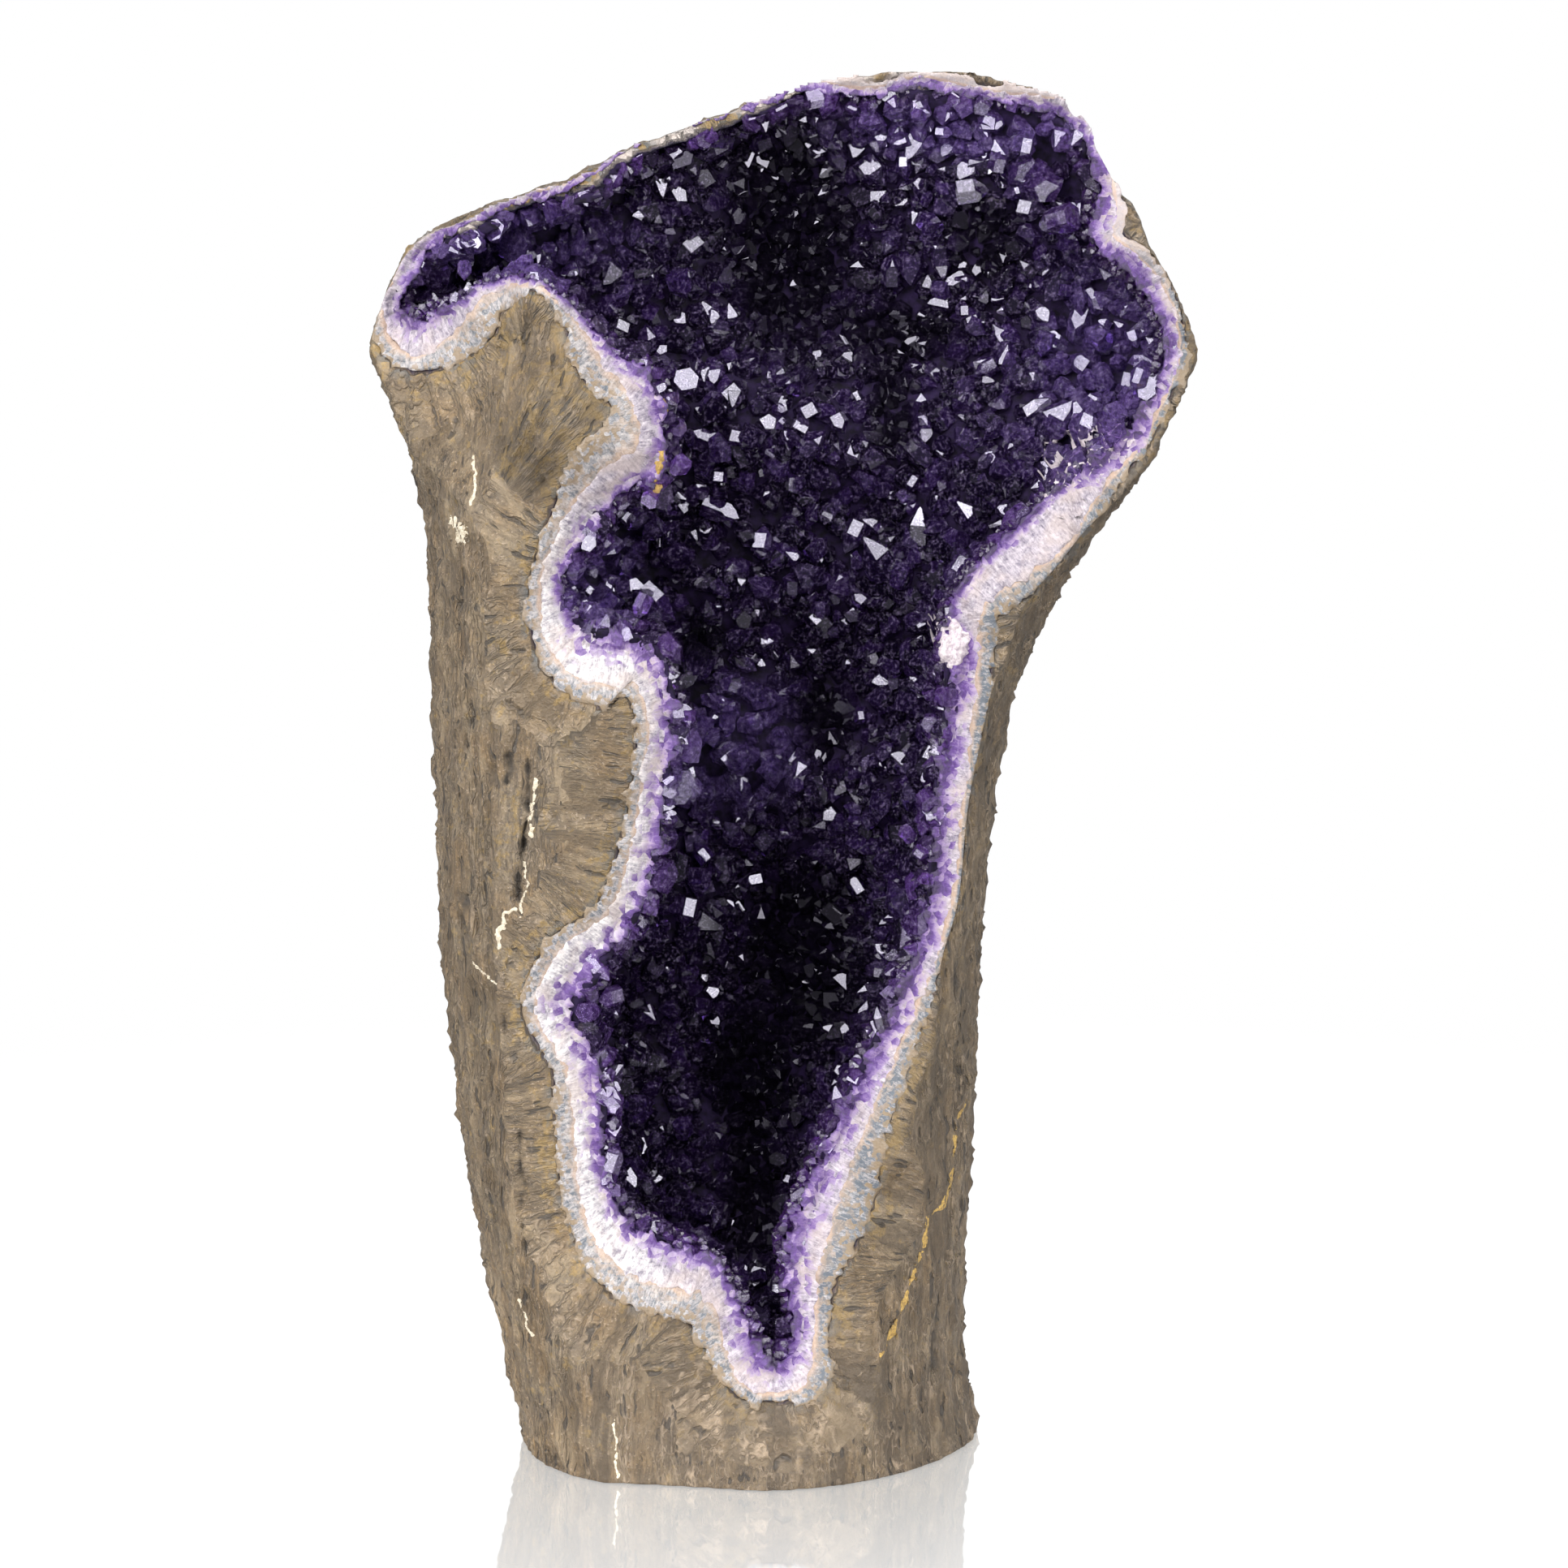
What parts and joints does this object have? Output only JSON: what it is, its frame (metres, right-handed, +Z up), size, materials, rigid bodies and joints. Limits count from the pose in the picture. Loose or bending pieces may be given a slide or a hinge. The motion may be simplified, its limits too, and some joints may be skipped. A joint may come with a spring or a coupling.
{
  "type": "amethyst cathedral geode",
  "caption": "Tall standing geode with a rugged basalt husk, a thin grey agate lining and a deep front hollow lined with violet quartz crystals, on a flat sawn base.",
  "frame": {"origin": "middle of the object's box on the surface it stands on", "axes": "+Z up, the mouth faces -Y, +X to the right as seen from the front"},
  "size_m": [0.3875, 0.2296, 0.64],
  "materials": {
    "basalt": "pecked and weathered brown basalt, matt",
    "chalcedony": "grey fibrous chalcedony, chiselled, faint gloss",
    "amethyst": "glassy quartz crystals, white at the root and deep violet at the tips"
  },
  "bodies": {
    "root": {"basalt_husk": "basalt", "chalcedony_band": "chalcedony", "amethyst_crust": "amethyst"}
  },
  "joints": []
}
